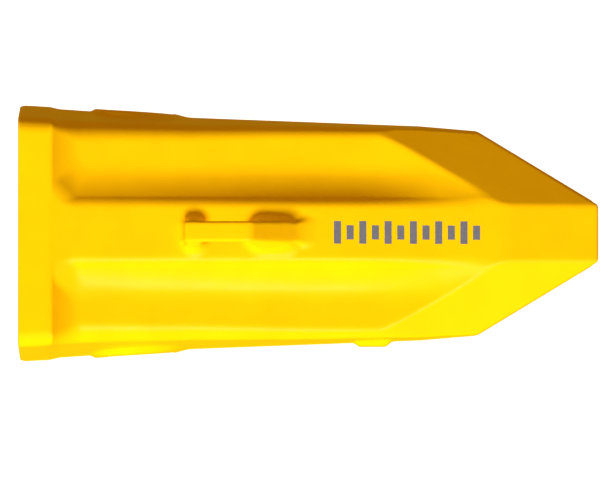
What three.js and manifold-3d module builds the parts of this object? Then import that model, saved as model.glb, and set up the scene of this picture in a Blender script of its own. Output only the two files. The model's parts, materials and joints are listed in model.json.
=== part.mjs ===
// Side-pinned excavator bucket tooth: the cast tip, the pin that holds it on its adapter, and the split
// spring ring that holds the pin. Millimetres. Everything is drawn in the axes of the tooth: x from the rear
// rim to the point, y across, z up from the parting plane. The lower half of the casting is the mirror image
// of the upper. The group is then tipped nose down by the slope of the spine, to rest on its lower spine.

import * as THREE from 'three';
import { mergeVertices } from 'three/addons/utils/BufferGeometryUtils.js';
import Module from 'manifold-3d';

const wasm = await Module();
wasm.setup();

// Casting, overall
const LENGTH = 550;
const HALF_HEIGHT = 133.5;
const COLLAR_LENGTH = 28.5;
const SPINE_SLOPE = THREE.MathUtils.degToRad(12);

// Half width at the parting plane: rim, front of the collar, its fillet, body and start of the bevels.
// Draft of the sides, as a slope, along the length.
const SIDE_LINE = [
  [-10, 121.9],
  [28.5, 119.8],
  [38, 117.6],
  [60, 116.1],
  [166, 109.4],
  [380, 101.3],
  [460, 94.5],
];
const DRAFT_LINE = [[28.5, 0.098], [60, 0.115], [200, 0.092], [300, 0.078]];

// Flutes beside the spine. A wall is the width of its shoulder, its whole width, and the share of the depth
// that its shoulder takes.
const FLUTE_DEPTH_REAR = 14;
const FLUTE_DEPTH = 21.5;
const FLUTE_DEEPENS_OVER = [35, 265];
const FLUTE_END = [461.5, 40.9];
const FLUTE_END_SLOPE = 0.04;
const FLUTE_LEVELLING = 6;
const FLUTE_START = 31;
const SPINE_EDGE = 22.5;
const SPINE_WALL = [10.5, 45, 0.31];
const WALL_NARROWS_BELOW = 11;
const NARROWEST_WALL = 0.1;
const COLLAR_WALL = [3, 30, 0.12];
const GUSSET_CORNER = [34, 31];
const GUSSET_WALL = [18, 46, 0.42];

// Outer top edge: its radius along the length
const EDGE_RADIUS_LINE = [[28.5, 14.5], [75, 18.5], [500, 5.5]];

// Point: bevel under the spine's end, and the four corner bevels, whose inner edges run along the point
const BEVEL_START = 461.5;
const POINT_HALF_HEIGHT = 6;
const CORNER_START = [442.7, 91.8];
const CORNER_ANGLE = Math.atan(0.605);
const FACET_EDGE = 26.5;
const FACET_SIDE_SLOPE = 0.63;

// Hollow for the nose of the adapter: distance from the rim, half width, half height, corner radius
const HOLLOW = [
  [-4, 86.3, 99, 24],
  [240, 70, 36, 16],
  [300, 66, 32, 14],
];

// Pin joint
const PIN_X = 114.6;
const PIN_RADIUS = 24;
const PIN_HALF_LENGTH = 111;
const PIN_CHAMFER = 4;
const BORE_RADIUS = 24.6;
const BOSS_RADIUS = 45;
const BOSS_HALF_WIDTH = 115.1;
const BOSS_TAPER = 0.054;
const GROOVE_Y = -69;
const GROOVE_ROOT = 20;
const GROOVE_HALF_WIDTH = 6;
const GROOVE_HALF_FLAT = 0.5;
const RING_RADIUS = 36;
const RING_HALF_THICKNESS = 5;
const RING_CLEARANCE = 0.9;
const RING_CHAMFER = 1.5;
const RING_GAP = 14;

// Lifting eye on the upper spine
const EYE_WEB = [157, 220, 271.5];
const EYE_TOP = 138.5;
const EYE_HALF_THICKNESS = 9.6;
const EYE_SLOT = [175, 218, 127.5, 10];
const EYE_FEET = [[157, 176], [218, 268]];
const EYE_FOOT_SPREAD = 10;
const EYE_FOOT_DROP = 0.5;
const EYE_SUNK = 4;
const EYE_CORNER = 4;

// Stub of the casting gate on the -Y side: start and end at the wall, start and end of its flat, distance of
// the flat from the centre line, how far it stands out of the wall, and half its height
const GATE_WALL = [317, 353.5];
const GATE_FLAT = [322.5, 348.5];
const GATE_FACE = 107.3;
const GATE_STANDS = 4.6;
const GATE_HALF_HEIGHT = 13.5;

const ROUND_SEGMENTS = 48;
const BORE_SEGMENTS = 64;

// How far cutting shapes reach beyond what they cut
const OVERSHOOT = 4;
const CUT_BLOCK_SIDE = 1600;
const CUT_BLOCK_DEPTH = 600;

const clamp = THREE.MathUtils.clamp;

// A smooth version of Math.min, rounded where the two differ by less than the reach
function smoothMin(a, b, reach) {
  const overlap = Math.max(reach - Math.abs(a - b), 0) / reach;
  return Math.min(a, b) - 0.25 * reach * overlap * overlap;
}

// Straight lines between points, level beyond the last one
function alongLine(points, position) {
  const x = Math.min(position, points[points.length - 1][0]);
  let i = 0;
  while (i < points.length - 2 && x > points[i + 1][0]) i += 1;
  const [x0, y0] = points[i];
  const [x1, y1] = points[i + 1];
  return y0 + ((y1 - y0) * (x - x0)) / (x1 - x0);
}

// Share of the flute's depth reached at a distance from the wall's upper edge: a round shoulder, then
// a hollow sweep, which may be narrowed
function wallShare(distance, [shoulder, run, edgeShare], narrowing = 1) {
  if (distance <= 0) return 0;
  if (distance < shoulder) return edgeShare * (distance / shoulder) ** 2;
  const t = clamp((distance - shoulder) / (run - shoulder) / narrowing, 0, 1);
  return edgeShare + (1 - edgeShare) * (1 - (1 - t) ** 2);
}

function spineHeight(x) {
  return HALF_HEIGHT - Math.max(x - COLLAR_LENGTH, 0) * Math.tan(SPINE_SLOPE);
}

function fluteDepth(x) {
  const [from, to] = FLUTE_DEEPENS_OVER;
  const share = clamp((x - from) / (to - from), 0, 1);
  const full = FLUTE_DEPTH_REAR + (FLUTE_DEPTH - FLUTE_DEPTH_REAR) * share;
  const [endX, endZ] = FLUTE_END;
  const level = endZ + FLUTE_END_SLOPE * (endX - x);
  return Math.max(smoothMin(full, spineHeight(x) - level, FLUTE_LEVELLING), 0);
}

// The wall of the spine gets narrower where the flute gets shallow towards the point
function wallNarrowing(x) {
  return clamp(fluteDepth(x) / WALL_NARROWS_BELOW, NARROWEST_WALL, 1);
}

// Height of the upper surface before its outer edge is rounded and its corners are bevelled
function upperSurface(x, y) {
  if (x <= COLLAR_LENGTH) return HALF_HEIGHT;
  const spineWall = wallShare(y - SPINE_EDGE, SPINE_WALL, wallNarrowing(x));
  const collarWall = wallShare(x - FLUTE_START, COLLAR_WALL);
  const [cornerX, cornerY] = GUSSET_CORNER;
  const gussetWall = wallShare((x - cornerX + y - cornerY) / Math.SQRT2, GUSSET_WALL);
  return spineHeight(x) - fluteDepth(x) * Math.min(spineWall, collarWall, gussetWall);
}

// One quarter of a cross-section, from the parting plane round the outer edge and the flute to the
// centre line
const ARC_STEPS = 4;
const WALL_STEPS = 5;
const QUARTER_POINTS = ARC_STEPS + WALL_STEPS + 5;

function quarterSection(x) {
  const radius = alongLine(EDGE_RADIUS_LINE, Math.max(x, COLLAR_LENGTH));
  const draft = alongLine(DRAFT_LINE, Math.max(x, COLLAR_LENGTH));
  const widthAt = (z) => alongLine(SIDE_LINE, x) - draft * z;
  const outerTop = upperSurface(x, widthAt(HALF_HEIGHT));
  const arcWidth = widthAt(outerTop - radius);
  const points = [[widthAt(0), 0]];
  for (let i = 0; i <= ARC_STEPS; i += 1) {
    const angle = (Math.PI / 2) * (i / ARC_STEPS);
    const y = arcWidth - radius + radius * Math.cos(angle);
    points.push([y, outerTop - radius + radius * Math.sin(angle)]);
  }
  const [shoulder, run] = SPINE_WALL;
  const sweep = (run - shoulder) * wallNarrowing(x);
  for (let i = 0; i <= WALL_STEPS; i += 1) {
    const y = SPINE_EDGE + shoulder + sweep * (1 - i / WALL_STEPS);
    points.push([y, upperSurface(x, y)]);
  }
  points.push([SPINE_EDGE, upperSurface(x, SPINE_EDGE)]);
  points.push([0, upperSurface(x, 0)]);
  return points;
}

// A closed skin over a row of ring-shaped sections: a disc extruded in steps, with its vertices moved
function loft(ringSize, sections, pointAt) {
  const disc = new THREE.Shape();
  for (let corner = 0; corner < ringSize; corner += 1) {
    const angle = (2 * Math.PI * corner) / ringSize;
    if (corner === 0) disc.moveTo(1, 0);
    else disc.lineTo(Math.cos(angle), Math.sin(angle));
  }
  const steps = sections.length - 1;
  const geometry = new THREE.ExtrudeGeometry(disc, { depth: 1, steps, bevelEnabled: false });
  const position = geometry.attributes.position;
  for (let i = 0; i < position.count; i += 1) {
    const angle = Math.atan2(position.getY(i), position.getX(i));
    const corner = (Math.round((angle * ringSize) / (2 * Math.PI)) + ringSize) % ringSize;
    const section = sections[Math.round(position.getZ(i) * steps)];
    position.setXYZ(i, ...pointAt(section, corner));
  }
  return geometry;
}

function toSolid(geometry) {
  const bare = geometry.clone();
  bare.deleteAttribute('normal');
  bare.deleteAttribute('uv');
  const merged = mergeVertices(bare, 1e-4);
  const mesh = new wasm.Mesh({
    numProp: 3,
    vertProperties: new Float32Array(merged.attributes.position.array),
    triVerts: new Uint32Array(merged.index.array),
  });
  return new wasm.Manifold(mesh);
}

function toGeometry(solid) {
  const mesh = solid.getMesh();
  const geometry = new THREE.BufferGeometry();
  geometry.setAttribute('position', new THREE.BufferAttribute(new Float32Array(mesh.vertProperties), 3));
  geometry.setIndex(new THREE.BufferAttribute(new Uint32Array(mesh.triVerts), 1));
  geometry.computeVertexNormals();
  return geometry;
}

// Everything beyond a plane, as a large block standing on it
function beyond(point, normal) {
  const block = new THREE.BoxGeometry(CUT_BLOCK_SIDE, CUT_BLOCK_SIDE, CUT_BLOCK_DEPTH);
  block.translate(0, 0, CUT_BLOCK_DEPTH / 2);
  const up = new THREE.Vector3(0, 0, 1);
  const turn = new THREE.Quaternion().setFromUnitVectors(up, normal.clone().normalize());
  return toSolid(block.applyQuaternion(turn).translate(...point));
}

function crossCylinder(x, radius, halfLength, segments) {
  return toSolid(new THREE.CylinderGeometry(radius, radius, 2 * halfLength, segments).translate(x, 0, 0));
}

function lengthStations() {
  const stations = [-OVERSHOOT, COLLAR_LENGTH, FLUTE_START];
  const [shoulder, sweep] = COLLAR_WALL;
  const sweepSteps = 8;
  for (let i = 0; i <= sweepSteps; i += 1) {
    stations.push(FLUTE_START + shoulder + ((sweep - shoulder) * i) / sweepSteps);
  }
  const bodySteps = 23;
  const bodyStart = FLUTE_START + sweep;
  for (let i = 1; i < bodySteps; i += 1) {
    stations.push(bodyStart + ((BEVEL_START - bodyStart) * i) / bodySteps);
  }
  stations.push(BEVEL_START, LENGTH + OVERSHOOT);
  return stations;
}

function fluteBody() {
  const sections = lengthStations().map((x) => ({ x, quarter: quarterSection(x) }));
  const quarterSteps = QUARTER_POINTS - 1;
  return toSolid(loft(4 * quarterSteps, sections, ({ x, quarter }, corner) => {
    const side = Math.floor(corner / quarterSteps);
    const along = corner % quarterSteps;
    const [y, z] = quarter[side % 2 === 0 ? along : quarterSteps - along];
    const mirrorY = side === 0 || side === 3 ? 1 : -1;
    const mirrorZ = side < 2 ? 1 : -1;
    return [x, mirrorY * y, mirrorZ * z];
  }));
}

function bevelPoint(body) {
  let solid = body;
  solid = solid.subtract(beyond([0, 0, 0], new THREE.Vector3(-1, 0, 0)));
  solid = solid.subtract(beyond([LENGTH, 0, 0], new THREE.Vector3(1, 0, 0)));
  const rise = spineHeight(BEVEL_START) - POINT_HALF_HEIGHT;
  for (const up of [1, -1]) {
    const bevel = new THREE.Vector3(rise, 0, up * (LENGTH - BEVEL_START));
    solid = solid.subtract(beyond([LENGTH, 0, up * POINT_HALF_HEIGHT], bevel));
    for (const side of [1, -1]) {
      const outward = new THREE.Vector3(Math.sin(CORNER_ANGLE), side * Math.cos(CORNER_ANGLE), 0);
      const facet = new THREE.Vector3(rise / (LENGTH - BEVEL_START), side * FACET_SIDE_SLOPE, up);
      solid = solid.subtract(beyond([LENGTH, side * FACET_EDGE, up * POINT_HALF_HEIGHT], facet));
      if (up === 1) solid = solid.subtract(beyond([CORNER_START[0], side * CORNER_START[1], 0], outward));
    }
  }
  return solid;
}

// The raised round faces that the bores come out through. They are flat, without the draft of the
// side walls.
function pinBosses() {
  const cylinder = crossCylinder(PIN_X, BOSS_RADIUS, HALF_HEIGHT, ROUND_SEGMENTS);
  return [1, -1].reduce((solid, side) => {
    const face = new THREE.Vector3(BOSS_TAPER, side, 0);
    return solid.subtract(beyond([PIN_X, side * BOSS_HALF_WIDTH, 0], face));
  }, cylinder);
}

function adapterHollow() {
  const cornerSteps = 4;
  const pointsPerCorner = cornerSteps + 1;
  return toSolid(loft(4 * pointsPerCorner, HOLLOW, ([x, halfWidth, halfHeight, radius], corner) => {
    const quarter = Math.floor(corner / pointsPerCorner);
    const angle = (Math.PI / 2) * (quarter + (corner % pointsPerCorner) / cornerSteps);
    const centreY = (quarter === 0 || quarter === 3 ? 1 : -1) * (halfWidth - radius);
    const centreZ = (quarter < 2 ? 1 : -1) * (halfHeight - radius);
    return [x, centreY + radius * Math.cos(angle), centreZ + radius * Math.sin(angle)];
  }));
}

function eyeTop(x) {
  const [, crest, front] = EYE_WEB;
  return EYE_TOP - (Math.max(x - crest, 0) * (EYE_TOP - spineHeight(front))) / (front - crest);
}

// A foot of the lifting eye, between two stations: its flanks spread towards the spine
function eyeFoot(stations) {
  return toSolid(loft(4, stations, (x, corner) => {
    const side = corner < 2 ? 1 : -1;
    const isUpper = corner === 1 || corner === 2;
    if (isUpper) return [x, side * EYE_HALF_THICKNESS, eyeTop(x) - EYE_FOOT_DROP];
    return [x, side * (EYE_HALF_THICKNESS + EYE_FOOT_SPREAD), spineHeight(x) - EYE_SUNK];
  }));
}

function liftingEye() {
  const [rear, crest, front] = EYE_WEB;
  const [slotRear, slotFront, slotTop, slotCorner] = EYE_SLOT;
  const profile = new THREE.Shape();
  profile.moveTo(rear, spineHeight(rear) - EYE_SUNK);
  profile.lineTo(slotRear, spineHeight(slotRear) - EYE_SUNK);
  profile.absarc(slotRear + slotCorner, slotTop - slotCorner, slotCorner, Math.PI, Math.PI / 2, true);
  profile.absarc(slotFront - slotCorner, slotTop - slotCorner, slotCorner, Math.PI / 2, 0, true);
  profile.lineTo(slotFront, spineHeight(slotFront) - EYE_SUNK);
  profile.lineTo(front, spineHeight(front) - EYE_SUNK);
  profile.lineTo(front, spineHeight(front));
  profile.lineTo(crest, EYE_TOP);
  profile.lineTo(rear + EYE_CORNER, EYE_TOP);
  profile.absarc(rear + EYE_CORNER, EYE_TOP - EYE_CORNER, EYE_CORNER, Math.PI / 2, Math.PI, false);
  const depth = 2 * EYE_HALF_THICKNESS;
  const web = new THREE.ExtrudeGeometry(profile, { depth, bevelEnabled: false, curveSegments: 8 });
  web.rotateX(Math.PI / 2).translate(0, EYE_HALF_THICKNESS, 0);
  return EYE_FEET.reduce((solid, foot) => solid.add(eyeFoot(foot)), toSolid(web));
}

function gateStub() {
  const inside = -GATE_FACE + 2 * GATE_STANDS;
  const [wallRear, wallFront] = GATE_WALL;
  const [flatRear, flatFront] = GATE_FLAT;
  const profile = new THREE.Shape();
  profile.moveTo(wallRear, inside);
  profile.lineTo(wallRear, GATE_STANDS - GATE_FACE);
  profile.lineTo(flatRear, -GATE_FACE);
  profile.lineTo(flatFront, -GATE_FACE);
  profile.lineTo(wallFront, GATE_STANDS - GATE_FACE);
  profile.lineTo(wallFront, inside);
  const stub = new THREE.ExtrudeGeometry(profile, { depth: 2 * GATE_HALF_HEIGHT, bevelEnabled: false });
  return toSolid(stub.translate(0, 0, -GATE_HALF_HEIGHT));
}

function tipCasting() {
  let solid = bevelPoint(fluteBody());
  solid = solid.add(pinBosses());
  solid = solid.add(liftingEye());
  solid = solid.add(gateStub());
  solid = solid.subtract(adapterHollow());
  solid = solid.subtract(crossCylinder(PIN_X, BORE_RADIUS, HALF_HEIGHT + OVERSHOOT, BORE_SEGMENTS));
  return toGeometry(solid);
}

function retainingPin() {
  const chamfered = PIN_RADIUS - PIN_CHAMFER;
  const profile = [
    [0, -PIN_HALF_LENGTH],
    [chamfered, -PIN_HALF_LENGTH],
    [PIN_RADIUS, -PIN_HALF_LENGTH + PIN_CHAMFER],
    [PIN_RADIUS, GROOVE_Y - GROOVE_HALF_WIDTH],
    [GROOVE_ROOT, GROOVE_Y - GROOVE_HALF_FLAT],
    [GROOVE_ROOT, GROOVE_Y + GROOVE_HALF_FLAT],
    [PIN_RADIUS, GROOVE_Y + GROOVE_HALF_WIDTH],
    [PIN_RADIUS, PIN_HALF_LENGTH - PIN_CHAMFER],
    [chamfered, PIN_HALF_LENGTH],
    [0, PIN_HALF_LENGTH],
  ];
  return new THREE.LatheGeometry(profile.map(([r, y]) => new THREE.Vector2(r, y)), ROUND_SEGMENTS);
}

// The ring's bore carries a ridge of the shape of the pin's groove. Its gap points up.
function retainerRing() {
  const grooveSlope = (PIN_RADIUS - GROOVE_ROOT) / (GROOVE_HALF_WIDTH - GROOVE_HALF_FLAT);
  const ridge = GROOVE_ROOT + RING_CLEARANCE;
  const bore = ridge + grooveSlope * (RING_HALF_THICKNESS - GROOVE_HALF_FLAT);
  const inner = RING_RADIUS - RING_CHAMFER;
  const profile = [
    [bore, -RING_HALF_THICKNESS],
    [inner, -RING_HALF_THICKNESS],
    [RING_RADIUS, -RING_HALF_THICKNESS + RING_CHAMFER],
    [RING_RADIUS, RING_HALF_THICKNESS - RING_CHAMFER],
    [inner, RING_HALF_THICKNESS],
    [bore, RING_HALF_THICKNESS],
    [ridge, GROOVE_HALF_FLAT],
    [ridge, -GROOVE_HALF_FLAT],
    [bore, -RING_HALF_THICKNESS],
  ];
  const ring = new THREE.LatheGeometry(profile.map(([r, y]) => new THREE.Vector2(r, y)), ROUND_SEGMENTS);
  const gapHeight = RING_RADIUS + OVERSHOOT;
  const gap = new THREE.BoxGeometry(RING_GAP, 4 * RING_HALF_THICKNESS, gapHeight);
  return toGeometry(toSolid(ring).subtract(toSolid(gap.translate(0, 0, gapHeight / 2))));
}

function piece(name, geometry, color, roughness, metalness) {
  const mesh = new THREE.Mesh(geometry, new THREE.MeshStandardMaterial({ color, roughness, metalness }));
  mesh.name = name;
  return mesh;
}

const casting = piece('tip_casting', tipCasting(), 0xf9cc0a, 0.45, 0);
const pin = piece('retaining_pin', retainingPin(), 0x4b4a48, 0.4, 0.9);
const ring = piece('retainer_ring', retainerRing(), 0x6b6a66, 0.35, 0.9);
pin.position.set(PIN_X, 0, 0);
ring.position.set(PIN_X, GROOVE_Y, 0);

const tooth = new THREE.Group();
tooth.add(casting, pin, ring);

// Lower spine on z = 0, and the middle of the overall box over the origin
const sin = Math.sin(SPINE_SLOPE);
const cos = Math.cos(SPINE_SLOPE);
const rearmost = -HALF_HEIGHT * sin;
const foremost = LENGTH * cos + POINT_HALF_HEIGHT * sin;
tooth.rotation.y = SPINE_SLOPE;
tooth.position.set(-(rearmost + foremost) / 2, 0, HALF_HEIGHT * cos + COLLAR_LENGTH * sin);

export default tooth;
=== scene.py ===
import json
import math

import bpy
import numpy as np
from mathutils import Matrix, Vector


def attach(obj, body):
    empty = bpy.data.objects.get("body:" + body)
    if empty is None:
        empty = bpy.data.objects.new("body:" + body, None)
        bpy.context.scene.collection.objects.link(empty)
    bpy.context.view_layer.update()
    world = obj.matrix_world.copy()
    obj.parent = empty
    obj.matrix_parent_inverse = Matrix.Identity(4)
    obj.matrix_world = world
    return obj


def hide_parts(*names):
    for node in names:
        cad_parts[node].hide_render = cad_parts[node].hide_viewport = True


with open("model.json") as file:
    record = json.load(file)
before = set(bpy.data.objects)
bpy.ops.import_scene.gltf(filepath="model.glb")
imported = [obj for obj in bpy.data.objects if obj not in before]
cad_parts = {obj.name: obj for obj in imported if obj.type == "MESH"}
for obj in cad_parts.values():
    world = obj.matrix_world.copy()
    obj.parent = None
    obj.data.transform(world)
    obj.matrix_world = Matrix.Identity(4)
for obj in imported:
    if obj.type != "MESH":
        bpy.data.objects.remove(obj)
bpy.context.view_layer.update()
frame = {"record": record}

# ---------------------------------------------------------------- axes of the tooth
# The casting is drawn in millimetres in its own axes, as in the CAD: x from the rear rim to the point,
# y across, z up from the parting plane. The mount at the end of the hollow says where those axes lie in
# the row frame.

MM = 0.001
HOLLOW_LENGTH = 300.0
mounts = {m["name"]: m for m in frame["record"]["mounts"]}
tooth_x = -Vector(mounts["hollow_end"]["axis"]).normalized()
tooth_y = Vector((0, 1, 0))
tooth_z = tooth_x.cross(tooth_y)
rim_centre = Vector(mounts["hollow_end"]["pos_m"]) - tooth_x * HOLLOW_LENGTH * MM
turn = Matrix((tooth_x, tooth_y, tooth_z)).transposed()
tooth_to_row = Matrix.Translation(rim_centre) @ turn.to_4x4() @ Matrix.Scale(MM, 4)


def in_row(x, y, z):
    return tooth_to_row @ Vector((x, y, z))


# ---------------------------------------------------------------- shape of the casting

LENGTH = 550.0
HALF_HEIGHT = 133.5
COLLAR_LENGTH = 28.5
SPINE_SLOPE = math.radians(12)
DRAFT_LINE = ((28.5, 0.098), (60.0, 0.115), (200.0, 0.092), (300.0, 0.078))
SIDE_LINE = (
    (-10, 121.9),
    (28.5, 119.8),
    (38, 117.6),
    (60, 116.1),
    (166, 109.4),
    (380, 101.3),
    (460, 94.5),
)
EDGE_RADIUS_LINE = ((28.5, 14.5), (33.0, 9.0), (58.0, 18.5), (500.0, 5.5))
RIM_ROUND = 2.5

# Flutes beside the spine. A wall is the width of its shoulder, its whole width, and the share of the
# depth that its shoulder takes.
FLUTE_DEPTH_REAR = 14.0
FLUTE_DEPTH = 21.5
FLUTE_DEEPENS_OVER = (35.0, 265.0)
FLUTE_END = (461.5, 40.9)
FLUTE_END_SLOPE = 0.04
FLUTE_LEVELLING = 6.0
FLUTE_START = 31.0
SPINE_EDGE = 22.5
SPINE_WALL = (10.5, 45.0, 0.31)
WALL_NARROWS_BELOW = 11.0
NARROWEST_WALL = 0.1
COLLAR_WALL = (3.0, 30.0, 0.12)
GUSSET_CORNER = (34.0, 31.0)
GUSSET_WALL = (18.0, 46.0, 0.42)
WALL_BLEND = 0.12

# Point: the bevel under the spine's end, the facets beside it and the cut corners
BEVEL_START = 461.5
BEVEL_ROUND = 1.5
POINT_HALF_HEIGHT = 6.0
POINT_ROUND = 2.0
CORNER_START = (442.7, 91.8)
CORNER_ANGLE = math.atan(0.605)
CORNER_ROUND = 1.2
FACET_EDGE = 26.5
FACET_SIDE_SLOPE = 0.63
FACET_ROUND = 1.2

# Hollow for the nose of the adapter, at three distances from the rim. Its walls slope, so the distance
# from a wall is a little less than the distance across the hollow.
HOLLOW_STATIONS = (-4.0, 240.0, HOLLOW_LENGTH)
HOLLOW_HALF_WIDTHS = (86.3, 70.0, 66.0)
HOLLOW_HALF_HEIGHTS = (99.0, 36.0, 32.0)
HOLLOW_CORNERS = (24.0, 16.0, 14.0)
HOLLOW_WALL_SCALE = 0.97
HOLLOW_END_ROUND = 10.0
HOLLOW_MOUTH_ROUND = 5.0

PIN_X = 114.6
BORE_RADIUS = 24.6
BORE_ROUND = 2.0
BOSS_RADIUS = 48.0
BOSS_STANDS = 2.5
BOSS_EDGE_REAR = 6.0
BOSS_EDGE_FRONT = 18.0

# Lifting eye: its rear, crest and front; its slot's rear, front, top and corner; and the start, end and
# corner of each of its feet, which spread downwards, to EYE_FOOT_REACH times their spread at the spine
EYE_WEB = (157.0, 220.0, 271.5)
EYE_TOP = 138.5
EYE_HALF_THICKNESS = 9.6
EYE_SLOT = (175.0, 218.0, 127.5, 12.0)
EYE_FEET = ((157.0, 176.0, 8.0), (218.0, 268.0, 14.0))
EYE_FOOT_SPREAD = 7.5
EYE_FOOT_REACH = 1.5
EYE_FOOT_LEAST_HEIGHT = 5.0
EYE_FILLET = 8.0
EYE_CREST_ROUND = 3.0
EYE_NOSE_ROUND = 4.0
EYE_SIDE_ROUND = 2.0
EYE_SLOT_ROUND = 3.0
EYE_BOTTOM = 60.0

# Stub of the casting gate on the -Y side. Each of its ends slopes from its face to the wall.
GATE_FACE = 107.3
GATE_REAR = ((322.5, GATE_FACE), (317.0, 103.0))
GATE_FRONT = ((348.5, GATE_FACE), (353.5, 102.4))
GATE_HALF_HEIGHT = 13.5
GATE_DRAFT = 0.4
GATE_DRAFT_FROM = 103.0
GATE_ROOT = 90.0
GATE_END_ROUND = 1.5
GATE_EDGE_ROUND = 3.0
GATE_FILLET = 1.5

# Ridge on the parting plane: how high and how wide it is, how far out the wall is that it stands on,
# which comes in towards the point, and how far it stays from the bores, the rim and the point
RIDGE_HEIGHT = 0.7
RIDGE_HALF_WIDTH = 1.8
RIDGE_WALL = 95.0
RIDGE_WALL_TURNS_IN = 430.0
RIDGE_WALL_SLOPE = 0.6
RIDGE_BORE_GAP = 6.0
RIDGE_RIM_GAP = 4.0
RIDGE_POINT_GAP = 6.0


def round_meet(a, b, radius):
    """Where both solids are, with a round edge along their meeting line."""
    past = np.hypot(np.maximum(a + radius, 0), np.maximum(b + radius, 0))
    return np.minimum(np.maximum(a, b), -radius) + past


def fillet_join(a, b, radius):
    """Where either solid is, with a hollow fillet along their meeting line."""
    return -round_meet(-a, -b, radius)


def cut(a, b, radius):
    """The first solid without the second, with a round edge where they meet."""
    return round_meet(a, -b, radius)


def smooth_min(a, b, reach):
    """The lower of two values, rounded where they differ by less than the reach."""
    overlap = np.maximum(reach - np.abs(a - b), 0) / reach
    return np.minimum(a, b) - 0.25 * reach * overlap**2


def smooth_step(value):
    """0 up to 0 and 1 from 1 on, level at both ends."""
    t = np.clip(value, 0, 1)
    return t * t * (3 - 2 * t)


def plane(x, z, through, normal):
    """Distance past a plane, in two of the coordinates."""
    size = math.hypot(*normal)
    return ((x - through[0]) * normal[0] + (z - through[1]) * normal[1]) / size


def wall_share(distance, wall, narrowing=1.0):
    """Share of the flute's depth at a distance from the wall's upper edge: shoulder, then sweep."""
    shoulder, run, edge_share = wall
    near = edge_share * (np.clip(distance, 0, shoulder) / shoulder) ** 2
    t = np.clip((distance - shoulder) / (run - shoulder) / narrowing, 0, 1)
    far = edge_share + (1 - edge_share) * (1 - (1 - t) ** 2)
    return np.where(distance < shoulder, near, far)


def spine_height(x):
    return HALF_HEIGHT - np.maximum(x - COLLAR_LENGTH, 0) * math.tan(SPINE_SLOPE)


def flute_depth(x):
    """Depth of the flute's floor under the spine: it grows, then ends where the floor levels out."""
    full = np.interp(x, FLUTE_DEEPENS_OVER, (FLUTE_DEPTH_REAR, FLUTE_DEPTH))
    end_x, end_z = FLUTE_END
    level = end_z + FLUTE_END_SLOPE * (end_x - x)
    return np.maximum(smooth_min(full, spine_height(x) - level, FLUTE_LEVELLING), 0)


def wall_narrowing(x):
    """The wall of the spine gets narrower where the flute gets shallow towards the point."""
    return np.clip(flute_depth(x) / WALL_NARROWS_BELOW, NARROWEST_WALL, 1)


def upper_surface(x, y):
    """Height of the upper face at y >= 0, before its edge is rounded and its point is bevelled."""
    spine_wall = wall_share(y - SPINE_EDGE, SPINE_WALL, wall_narrowing(x))
    collar_wall = wall_share(x - FLUTE_START, COLLAR_WALL)
    corner_x, corner_y = GUSSET_CORNER
    gusset_wall = wall_share((x - corner_x + y - corner_y) / math.sqrt(2), GUSSET_WALL)
    share = smooth_min(np.minimum(spine_wall, collar_wall), gusset_wall, WALL_BLEND)
    return spine_height(x) - flute_depth(x) * np.maximum(share, 0)


def side_half_width(x):
    return np.interp(x, *zip(*SIDE_LINE))


def side_draft(x):
    return np.interp(x, *zip(*DRAFT_LINE))


def boss_rise(x, z):
    """How far the pin's flat boss stands out of the side: a crisp step behind, a long one ahead."""
    distance = np.hypot(x - PIN_X, z)
    ahead = 0.5 + 0.5 * (x - PIN_X) / np.maximum(distance, 1)
    edge = BOSS_EDGE_REAR + (BOSS_EDGE_FRONT - BOSS_EDGE_REAR) * ahead
    return (BOSS_STANDS + side_draft(x) * z) * smooth_step((BOSS_RADIUS - distance) / edge)


def flute_body(x, y, z):
    """The fluted wedge with its drafted sides. y and z are distances from the mid planes."""
    step = 0.5
    height = upper_surface(x, y)
    slope_x = (upper_surface(x + step, y) - height) / step
    slope_y = (upper_surface(x, y + step) - height) / step
    top = (z - height) / np.sqrt(1 + slope_x**2 + slope_y**2)
    side = y - side_half_width(x) - boss_rise(x, z) + side_draft(x) * z
    return round_meet(top, side, np.interp(x, *zip(*EDGE_RADIUS_LINE)))


def point_bevels(solid, x, y, z):
    run = LENGTH - BEVEL_START
    rise = float(spine_height(BEVEL_START)) - POINT_HALF_HEIGHT
    bevel = plane(x, z, (LENGTH, POINT_HALF_HEIGHT), (rise, run))
    solid = round_meet(solid, bevel, BEVEL_ROUND)
    fall = rise / run
    facet = fall * (x - LENGTH) + FACET_SIDE_SLOPE * (y - FACET_EDGE) + z - POINT_HALF_HEIGHT
    solid = round_meet(solid, facet / math.hypot(fall, FACET_SIDE_SLOPE, 1), FACET_ROUND)
    along, across = x - CORNER_START[0], y - CORNER_START[1]
    corner = along * math.sin(CORNER_ANGLE) + across * math.cos(CORNER_ANGLE)
    solid = round_meet(solid, corner, CORNER_ROUND)
    return round_meet(solid, x - LENGTH, POINT_ROUND)


def adapter_hollow(x, y, z):
    radius = np.interp(x, HOLLOW_STATIONS, HOLLOW_CORNERS)
    across = y - (np.interp(x, HOLLOW_STATIONS, HOLLOW_HALF_WIDTHS) - radius)
    up = z - (np.interp(x, HOLLOW_STATIONS, HOLLOW_HALF_HEIGHTS) - radius)
    past_corner = np.hypot(np.maximum(across, 0), np.maximum(up, 0))
    walls = past_corner + np.minimum(np.maximum(across, up), 0) - radius
    return round_meet(walls * HOLLOW_WALL_SCALE, x - HOLLOW_LENGTH, HOLLOW_END_ROUND)


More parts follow.
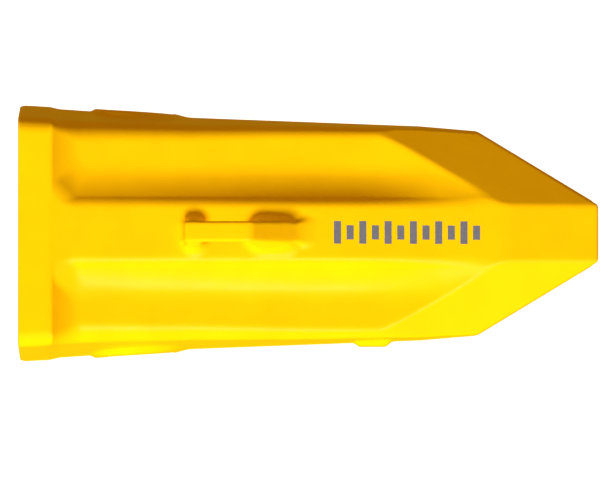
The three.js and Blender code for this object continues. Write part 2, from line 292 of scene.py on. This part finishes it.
def lifting_eye(x, y, z):
    """A bar along the spine, with a slot under it and a wider foot at each end."""
    rear, crest, front = EYE_WEB
    drop = EYE_TOP - float(spine_height(front))
    nose = plane(x, z, (crest, EYE_TOP), (drop, front - crest))
    outline = round_meet(rear - x, z - EYE_TOP, EYE_CREST_ROUND)
    outline = round_meet(outline, nose, EYE_NOSE_ROUND)
    slot_rear, slot_front, slot_top, slot_corner = EYE_SLOT
    slot = round_meet(np.maximum(slot_rear - x, x - slot_front), z - slot_top, slot_corner)
    web = round_meet(outline, np.abs(y) - EYE_HALF_THICKNESS, EYE_SIDE_ROUND)
    eye = cut(web, slot, EYE_SLOT_ROUND)
    top = EYE_TOP - np.maximum(x - crest, 0) * drop / (front - crest)
    height = np.maximum(top - spine_height(x), EYE_FOOT_LEAST_HEIGHT)
    spread = EYE_FOOT_SPREAD * np.clip((top - z) / height, 0, EYE_FOOT_REACH)
    flank = np.abs(y) - EYE_HALF_THICKNESS - spread
    for start, end, corner in EYE_FEET:
        block = round_meet(flank, np.abs(x - (start + end) / 2) - (end - start) / 2, corner)
        eye = np.minimum(eye, round_meet(outline, block, EYE_SIDE_ROUND))
    return np.maximum(eye, EYE_BOTTOM - z)


def gate_stub(x, y, z):
    face = -y - GATE_FACE
    (ax, ay), (bx, by) = GATE_REAR
    rear = plane(x, -y, (ax, ay), (by - ay, ax - bx))
    (ax, ay), (bx, by) = GATE_FRONT
    front = plane(x, -y, (ax, ay), (ay - by, bx - ax))
    ends = round_meet(np.maximum(face, rear), front, GATE_END_ROUND)
    edge = np.abs(z) - GATE_HALF_HEIGHT + GATE_DRAFT * (-y - GATE_DRAFT_FROM)
    return np.maximum(round_meet(ends, edge, GATE_EDGE_ROUND), GATE_ROOT + y)


def casting_field(x, y, z):
    """Below 0 inside the casting, above 0 outside, and close to the distance from its surface."""
    across, up = np.abs(y), np.abs(z)
    solid = flute_body(x, across, up)
    solid = point_bevels(solid, x, across, up)
    solid = fillet_join(solid, lifting_eye(x, y, z), EYE_FILLET)
    solid = fillet_join(solid, gate_stub(x, y, z), GATE_FILLET)
    solid = round_meet(solid, -x, RIM_ROUND)
    solid = cut(solid, adapter_hollow(x, across, up), HOLLOW_MOUTH_ROUND)
    return cut(solid, np.hypot(x - PIN_X, z) - BORE_RADIUS, BORE_ROUND)


# ---------------------------------------------------------------- from a field to a mesh

CELL = 2.0
SETTLING_ROUNDS = 3
SETTLING_STEP = 0.05
LEAST_STEEPNESS = 0.25


def grid_line(low, high):
    return (low + CELL * np.arange(int((high - low) / CELL) + 2)).astype(np.float32)


def surface_net(field, lines):
    """Vertices, one in each cell that the surface crosses, and the quads that join them, facing out."""
    inside = field < 0
    cells = tuple(n - 1 for n in field.shape)
    count = np.zeros(cells, np.int8)
    corners = [(i, j, k) for i in (0, 1) for j in (0, 1) for k in (0, 1)]
    for i, j, k in corners:
        count += inside[i:i + cells[0], j:j + cells[1], k:k + cells[2]]
    at = np.argwhere((count > 0) & (count < 8))
    number = np.full(cells, -1, np.int32)
    number[tuple(at.T)] = np.arange(len(at))

    total = np.zeros((len(at), 3))
    crossings = np.zeros(len(at))
    for a in corners:
        for axis in range(3):
            if a[axis] == 1:
                continue
            b = tuple(1 if n == axis else v for n, v in enumerate(a))
            low = field[tuple((at + a).T)]
            high = field[tuple((at + b).T)]
            crossed = (low < 0) != (high < 0)
            share = np.where(crossed, low / np.where(crossed, low - high, 1), 0)
            place = (at + a).astype(float)
            place[:, axis] += share
            total += place * crossed[:, None]
            crossings += crossed
    origin = np.array([line[0] for line in lines], float)
    points = origin + CELL * total / crossings[:, None]

    quads = []
    for axis in range(3):
        side, other = (axis + 1) % 3, (axis + 2) % 3
        low = np.take(inside, np.arange(field.shape[axis] - 1), axis)
        high = np.take(inside, np.arange(1, field.shape[axis]), axis)
        for flip, crossed in ((False, low & ~high), (True, high & ~low)):
            edge = np.argwhere(crossed)
            ring = []
            for back_side, back_other in ((1, 1), (0, 1), (0, 0), (1, 0)):
                cell = edge.copy()
                cell[:, side] -= back_side
                cell[:, other] -= back_other
                ring.append(number[tuple(cell.T)])
            quads.append(np.stack(ring[::-1] if flip else ring, 1))
    return points, np.concatenate(quads)


def settle_on_surface(points):
    """Moves points along the field's slope until they lie on its zero surface."""
    steps = SETTLING_STEP * np.eye(3)
    for _ in range(SETTLING_ROUNDS):
        value = casting_field(*points.T)
        change = [casting_field(*(points + step).T) - value for step in steps]
        slope = np.stack(change, 1) / SETTLING_STEP
        steepness = np.maximum((slope**2).sum(1), LEAST_STEEPNESS)
        points = points - np.clip(value / steepness, -CELL, CELL)[:, None] * slope
    return points


def mesh_object(name, points, faces, to_row=tooth_to_row):
    """A smooth-shaded mesh from numpy points in millimetres, moved into the row frame."""
    matrix = np.array(to_row)
    placed = points @ matrix[:3, :3].T + matrix[:3, 3]
    mesh = bpy.data.meshes.new(name)
    if isinstance(faces, np.ndarray):
        mesh.vertices.add(len(placed))
        mesh.vertices.foreach_set("co", placed.astype(np.float32).ravel())
        mesh.loops.add(faces.size)
        mesh.loops.foreach_set("vertex_index", faces.astype(np.int32).ravel())
        mesh.polygons.add(len(faces))
        mesh.polygons.foreach_set("loop_start", np.arange(0, faces.size, 4, dtype=np.int32))
    else:
        mesh.from_pydata(placed.tolist(), [], faces)
    mesh.update(calc_edges=True)
    mesh.validate()
    mesh.shade_smooth()
    thing = bpy.data.objects.new(name, mesh)
    bpy.context.scene.collection.objects.link(thing)
    return thing


def add_parting_line(points):
    """The faint ridge that the joint of the two mould halves leaves round the outside."""
    x, y, z = points.T
    wall = RIDGE_WALL - RIDGE_WALL_SLOPE * np.maximum(x - RIDGE_WALL_TURNS_IN, 0)
    beside_bores = np.hypot(x - PIN_X, z) > BORE_RADIUS + RIDGE_BORE_GAP
    between_ends = (x > RIDGE_RIM_GAP) & (x < LENGTH - RIDGE_POINT_GAP)
    rise = RIDGE_HEIGHT * np.exp(-((z / RIDGE_HALF_WIDTH) ** 2))
    moved = points.copy()
    moved[:, 1] += np.where((np.abs(y) > wall) & beside_bores & between_ends, rise * np.sign(y), 0)
    return moved


def make_casting():
    margin = 3 * CELL
    lines = (
        grid_line(-margin, LENGTH + margin),
        grid_line(-side_half_width(0) - margin, side_half_width(0) + margin),
        grid_line(-HALF_HEIGHT - margin, EYE_TOP + margin),
    )
    x, y, z = np.meshgrid(*lines, indexing="ij", sparse=True)
    field = casting_field(x, y, z)
    points, quads = surface_net(field, lines)
    points = add_parting_line(settle_on_surface(points))
    return mesh_object("cast_tip", points, quads)


# ---------------------------------------------------------------- pin and ring

PIN_RADIUS = 24.0
PIN_HALF_LENGTH = 111.0
PIN_CHAMFER = 4.0
GROOVE_Y = -69.0
GROOVE_ROOT = 20.0
GROOVE_HALF_WIDTH = 6.0
GROOVE_HALF_FLAT = 0.6
PIN_CENTRE_HOLE = (5.0, 6.0)
PIN_SOFTENING = 0.6
RING_RADIUS = 36.0
RING_HALF_THICKNESS = 5.0
RING_CLEARANCE = 0.9
RING_GAP = 14.0
RING_SLOPE_START = 0.5
RING_SOFTENING = 1.2
ROUND_STEPS = 128
SOFTENED_ABOVE = math.radians(28)


def soften(thing, width_mm, segments):
    bevel = thing.modifiers.new("softened_edges", "BEVEL")
    bevel.width = width_mm * MM
    bevel.segments = segments
    bevel.limit_method = "ANGLE"
    bevel.angle_limit = SOFTENED_ABOVE
    bevel.harden_normals = True
    return thing


def turned(name, profile):
    """A solid of revolution about the pin's axis. The profile is (radius, y), from axis to axis."""
    points, faces = [], []
    inner = profile[1:-1]
    for i in range(ROUND_STEPS):
        angle = 2 * math.pi * i / ROUND_STEPS
        points += [(PIN_X + r * math.sin(angle), y, r * math.cos(angle)) for r, y in inner]
    start, end = len(points), len(points) + 1
    points += [(PIN_X, profile[0][1], 0), (PIN_X, profile[-1][1], 0)]
    rows = len(inner)
    for i in range(ROUND_STEPS):
        here, there = i * rows, (i + 1) % ROUND_STEPS * rows
        faces += [(here + n, there + n, there + n + 1, here + n + 1) for n in range(rows - 1)]
        faces.append((there, here, start))
        faces.append((here + rows - 1, there + rows - 1, end))
    return mesh_object(name, np.array(points), faces)


def make_pin():
    centre_hole, centre_depth = PIN_CENTRE_HOLE
    profile = [
        (0, -PIN_HALF_LENGTH + centre_depth),
        (centre_hole, -PIN_HALF_LENGTH),
        (PIN_RADIUS - PIN_CHAMFER, -PIN_HALF_LENGTH),
        (PIN_RADIUS, -PIN_HALF_LENGTH + PIN_CHAMFER),
        (PIN_RADIUS, GROOVE_Y - GROOVE_HALF_WIDTH),
        (GROOVE_ROOT, GROOVE_Y - GROOVE_HALF_FLAT),
        (GROOVE_ROOT, GROOVE_Y + GROOVE_HALF_FLAT),
        (PIN_RADIUS, GROOVE_Y + GROOVE_HALF_WIDTH),
        (PIN_RADIUS, PIN_HALF_LENGTH - PIN_CHAMFER),
        (PIN_RADIUS - PIN_CHAMFER, PIN_HALF_LENGTH),
        (centre_hole, PIN_HALF_LENGTH),
        (0, PIN_HALF_LENGTH - centre_depth),
    ]
    return soften(turned("turned_pin", profile), PIN_SOFTENING, 3)


def make_ring():
    """The ring in the pin's groove, with a ridge inside that follows the groove, open at the top."""
    slope = (PIN_RADIUS - GROOVE_ROOT) / (GROOVE_HALF_WIDTH - RING_SLOPE_START)
    ridge = GROOVE_ROOT + RING_CLEARANCE
    bore = ridge + slope * (RING_HALF_THICKNESS - RING_SLOPE_START)
    profile = [
        (bore, -RING_HALF_THICKNESS),
        (RING_RADIUS, -RING_HALF_THICKNESS),
        (RING_RADIUS, RING_HALF_THICKNESS),
        (bore, RING_HALF_THICKNESS),
        (ridge, GROOVE_HALF_FLAT),
        (ridge, -GROOVE_HALF_FLAT),
    ]
    half_gap = math.asin(RING_GAP / 2 / ((RING_RADIUS + ridge) / 2))
    points, faces = [], []
    rows = len(profile)
    for i in range(ROUND_STEPS + 1):
        angle = half_gap + (2 * math.pi - 2 * half_gap) * i / ROUND_STEPS
        points += [(PIN_X + r * math.sin(angle), GROOVE_Y + y, r * math.cos(angle)) for r, y in profile]
    for i in range(ROUND_STEPS):
        here, there = i * rows, (i + 1) * rows
        for n in range(rows):
            following = (n + 1) % rows
            faces.append((here + n, here + following, there + following, there + n))
    faces.append(tuple(reversed(range(rows))))
    faces.append(tuple(ROUND_STEPS * rows + n for n in range(rows)))
    return soften(mesh_object("split_ring", np.array(points), faces), RING_SOFTENING, 4)


# ---------------------------------------------------------------- painted marks

MARKS_FROM, MARKS_TO = 302.0, 434.0
MARK_COUNT = 12
MARK_WIDTH = 6.8
MARK_LENGTHS = (21.5, 13.5)
MARK_THICKNESS = 0.2
MARK_GAP = 0.02


def make_marks():
    """A plain wear gauge painted on the upper spine: evenly spaced bars, long and short in turn."""
    points, faces = [], []
    for i in range(MARK_COUNT):
        middle = MARKS_FROM + (MARKS_TO - MARKS_FROM) * i / (MARK_COUNT - 1)
        half_length = MARK_LENGTHS[i % 2] / 2
        start = len(points)
        corners = ((-1, -1), (1, -1), (1, 1), (-1, 1))
        for lift in (MARK_GAP, MARK_THICKNESS):
            for side, end in corners:
                x = middle + side * MARK_WIDTH / 2
                points.append((x, end * half_length, float(spine_height(x)) + lift))
        faces.append(tuple(start + n for n in (3, 2, 1, 0)))
        faces.append(tuple(start + 4 + n for n in range(4)))
        for n in range(4):
            after = (n + 1) % 4
            faces.append((start + n, start + after, start + 4 + after, start + 4 + n))
    marks = mesh_object("wear_gauge_marks", np.array(points), faces)
    marks.data.shade_flat()
    return marks


# ---------------------------------------------------------------- materials


NOISE_RANGE = (0.3, 0.7)


class Shader:
    """A node material with a Principled shader, and short calls for its usual nodes."""

    def __init__(self, name):
        self.material = bpy.data.materials.new(name)
        self.material.use_nodes = True
        self.tree = self.material.node_tree
        self.surface = self.tree.nodes["Principled BSDF"]
        self.place = self.tree.nodes.new("ShaderNodeTexCoord").outputs["Object"]

    def join(self, out, into):
        self.tree.links.new(out, into)

    def noise(self, scale, detail=3.0, stretch=None):
        node = self.tree.nodes.new("ShaderNodeTexNoise")
        node.inputs["Scale"].default_value = scale
        node.inputs["Detail"].default_value = detail
        place = self.place
        if stretch:
            mapping = self.tree.nodes.new("ShaderNodeMapping")
            mapping.inputs["Scale"].default_value = stretch
            self.join(place, mapping.inputs["Vector"])
            place = mapping.outputs["Vector"]
        self.join(place, node.inputs["Vector"])
        return node.outputs["Fac"]

    def ramp(self, value, low, high):
        node = self.tree.nodes.new("ShaderNodeMapRange")
        node.inputs["From Min"].default_value, node.inputs["From Max"].default_value = NOISE_RANGE
        node.inputs["To Min"].default_value, node.inputs["To Max"].default_value = low, high
        self.join(value, node.inputs["Value"])
        return node.outputs["Result"]

    def mix(self, share, a, b):
        node = self.tree.nodes.new("ShaderNodeMix")
        node.data_type = "RGBA"
        self.join(share, node.inputs["Factor"])
        for socket, colour in ((node.inputs["A"], a), (node.inputs["B"], b)):
            if isinstance(colour, tuple):
                socket.default_value = (*colour, 1)
            else:
                self.join(colour, socket)
        return node.outputs["Result"]

    def set(self, name, value):
        self.surface.inputs[name].default_value = value

    def colour(self, noise, one, other):
        """Drifts between two shades."""
        self.join(self.mix(self.ramp(noise, 0, 1), one, other), self.surface.inputs["Base Color"])

    def roughness(self, noise, low, high):
        self.join(self.ramp(noise, low, high), self.surface.inputs["Roughness"])

    def bumps(self, *layers):
        """Bump nodes in a row, each from (height, distance in millimetres, strength)."""
        normal = None
        for height, distance, strength in layers:
            node = self.tree.nodes.new("ShaderNodeBump")
            node.inputs["Distance"].default_value = distance * MM
            node.inputs["Strength"].default_value = strength
            self.join(height, node.inputs["Height"])
            if normal:
                self.join(normal, node.inputs["Normal"])
            normal = node.outputs["Normal"]
        self.join(normal, self.surface.inputs["Normal"])


YELLOW = (0.93, 0.545, 0.0014)
YELLOW_DEEP = (0.89, 0.51, 0.0011)
PIN_DARK = (0.075, 0.072, 0.068)
PIN_LIGHT = (0.13, 0.12, 0.11)
RING_DARK = (0.15, 0.145, 0.14)
RING_LIGHT = (0.22, 0.21, 0.2)
GREY_DARK = (0.12, 0.13, 0.18)
GREY_LIGHT = (0.15, 0.16, 0.21)
FLOOR_LIGHT = (0.9, 0.9, 0.9)
FLOOR_DARK = (0.88, 0.88, 0.88)


def enamel():
    s = Shader("yellow_enamel")
    s.colour(s.noise(28, 4), YELLOW, YELLOW_DEEP)
    s.roughness(s.noise(160, 3), 0.31, 0.37)
    s.set("Specular IOR Level", 0.16)
    s.bumps((s.noise(55, 2), 0.5, 0.25), (s.noise(330, 3), 0.12, 0.5), (s.noise(900, 2), 0.05, 0.5))
    return s.material


def pin_steel():
    s = Shader("phosphated_steel")
    s.set("Metallic", 0.85)
    s.colour(s.noise(90, 4), PIN_DARK, PIN_LIGHT)
    s.roughness(s.noise(240, 3), 0.34, 0.5)
    s.bumps((s.noise(1.0, 2, (60, 2600, 60)), 0.04, 0.6), (s.noise(700, 2), 0.03, 0.4))
    return s.material


def ring_steel():
    s = Shader("spring_steel")
    s.set("Metallic", 0.9)
    s.colour(s.noise(110, 4), RING_DARK, RING_LIGHT)
    s.roughness(s.noise(260, 3), 0.28, 0.42)
    s.bumps((s.noise(420, 3), 0.06, 0.5))
    return s.material


def mark_paint():
    s = Shader("grey_stencil_paint")
    s.colour(s.noise(420, 3), GREY_DARK, GREY_LIGHT)
    s.roughness(s.noise(300, 3), 0.5, 0.62)
    s.bumps((s.noise(900, 2), 0.03, 0.5))
    return s.material


def finish_piece(thing, material, body, node=None):
    thing.data.materials.clear()
    thing.data.materials.append(material)
    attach(thing, body)
    if node:
        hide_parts(node)


finish_piece(make_casting(), enamel(), "tip", "tip_casting")
finish_piece(make_pin(), pin_steel(), "pin", "retaining_pin")
finish_piece(make_ring(), ring_steel(), "ring", "retainer_ring")
finish_piece(make_marks(), mark_paint(), "tip")


# ---------------------------------------------------------------- floor, light and camera

FLOOR_RADIUS = 60.0
FLOOR_STEPS = 96
FLOOR_GLOW = 0.8
KEY_ELEVATION = math.radians(43)
KEY_TURN = math.radians(-10)
KEY_STRENGTH = 5.1
KEY_SOFTNESS = math.radians(12)
SHEEN_ELEVATION = math.radians(44)
SHEEN_TURN = math.radians(35)
SHEEN_STRENGTH = 0.6
REAR_FILL_STRENGTH = 1.1
REAR_FILL_SOFTNESS = math.radians(15)
REAR_FILL_DROP = 0.25
FLOOR_KEY_STRENGTH = 1.8
FLOOR_KEY_SOFTNESS = math.radians(120)
AMBIENT = (0.40, 0.228, 0.01)
LENS = 1200.0
SENSOR = 36.0
VIEW_WIDTH = 0.581
VIEW_CENTRE = (271.7, -5.3, 0.0)
VIEW_TILT = math.radians(0.8)
VIEW_FAR = 200.0


def make_floor():
    points = [(0.0, 0.0, 0.0)]
    faces = []
    for i in range(FLOOR_STEPS):
        angle = 2 * math.pi * i / FLOOR_STEPS
        points.append((FLOOR_RADIUS * math.cos(angle), FLOOR_RADIUS * math.sin(angle), 0))
        faces.append((0, i + 1, (i + 1) % FLOOR_STEPS + 1))
    floor = mesh_object("studio_floor", np.array(points), faces, Matrix.Identity(4))
    s = Shader("pale_floor")
    s.colour(s.noise(3, 2), FLOOR_LIGHT, FLOOR_DARK)
    s.set("Roughness", 0.9)
    s.set("Specular IOR Level", 0.0)
    s.set("Emission Color", (1, 1, 1, 1))
    s.set("Emission Strength", FLOOR_GLOW)
    floor.data.materials.append(s.material)
    floor.visible_diffuse = False
    floor.visible_glossy = False
    return floor


def from_the_side(turned, elevation):
    """Direction of a light beside the tooth, turned towards the point and raised."""
    ground = -tooth_y * math.cos(turned) + tooth_x * math.sin(turned)
    return ground * math.cos(elevation) + tooth_z * math.sin(elevation)


def make_sun(name, strength, softness, towards, lit):
    """A soft sun that lights only the things listed."""
    light = bpy.data.lights.new(name, "SUN")
    light.energy = strength
    light.angle = softness
    sun = bpy.data.objects.new(name, light)
    bpy.context.scene.collection.objects.link(sun)
    sun.rotation_euler = towards.to_track_quat("Z", "Y").to_euler()
    receivers = bpy.data.collections.new("lit_by_" + name)
    for thing in lit:
        receivers.objects.link(thing)
    sun.light_linking.receiver_collection = receivers
    return sun


def make_world():
    world = bpy.data.worlds.new("studio")
    world.use_nodes = True
    nodes, links = world.node_tree.nodes, world.node_tree.links
    fill = nodes["Background"]
    fill.inputs["Color"].default_value = (*AMBIENT, 1)
    seen = nodes.new("ShaderNodeBackground")
    seen.inputs["Color"].default_value = (1, 1, 1, 1)
    choice = nodes.new("ShaderNodeMixShader")
    links.new(nodes.new("ShaderNodeLightPath").outputs["Is Camera Ray"], choice.inputs["Fac"])
    links.new(fill.outputs[0], choice.inputs[1])
    links.new(seen.outputs[0], choice.inputs[2])
    links.new(choice.outputs[0], nodes["World Output"].inputs["Surface"])
    bpy.context.scene.world = world


def make_camera():
    camera = bpy.data.cameras.new("camera")
    camera.lens = LENS
    camera.sensor_width = SENSOR
    camera.clip_end = VIEW_FAR
    distance = VIEW_WIDTH * LENS / SENSOR
    thing = bpy.data.objects.new("camera", camera)
    bpy.context.scene.collection.objects.link(thing)
    centre = Matrix.Translation(in_row(*VIEW_CENTRE))
    aim = centre @ turn.to_4x4() @ Matrix.Rotation(VIEW_TILT, 4, "X")
    thing.matrix_world = aim @ Matrix.Translation((0, 0, distance))
    bpy.context.scene.camera = thing


pieces = [o for o in bpy.context.scene.objects if o.type == "MESH"]
from_key = from_the_side(KEY_TURN, KEY_ELEVATION)
from_sheen = from_the_side(SHEEN_TURN, SHEEN_ELEVATION)
from_behind = -tooth_x - REAR_FILL_DROP * tooth_z
from_above = Vector((0, 0, 1))
key = make_sun("key", KEY_STRENGTH, KEY_SOFTNESS, from_key, pieces)
key.data.use_shadow = False
key.visible_glossy = False
sheen = make_sun("sheen", SHEEN_STRENGTH, KEY_SOFTNESS, from_sheen, pieces)
sheen.data.use_shadow = False
sheen.visible_diffuse = False
make_sun("rear_fill", REAR_FILL_STRENGTH, REAR_FILL_SOFTNESS, from_behind, pieces)
make_sun("floor_light", FLOOR_KEY_STRENGTH, FLOOR_KEY_SOFTNESS, from_above, [make_floor()])
make_world()
make_camera()
bpy.context.scene.view_settings.view_transform = "Standard"
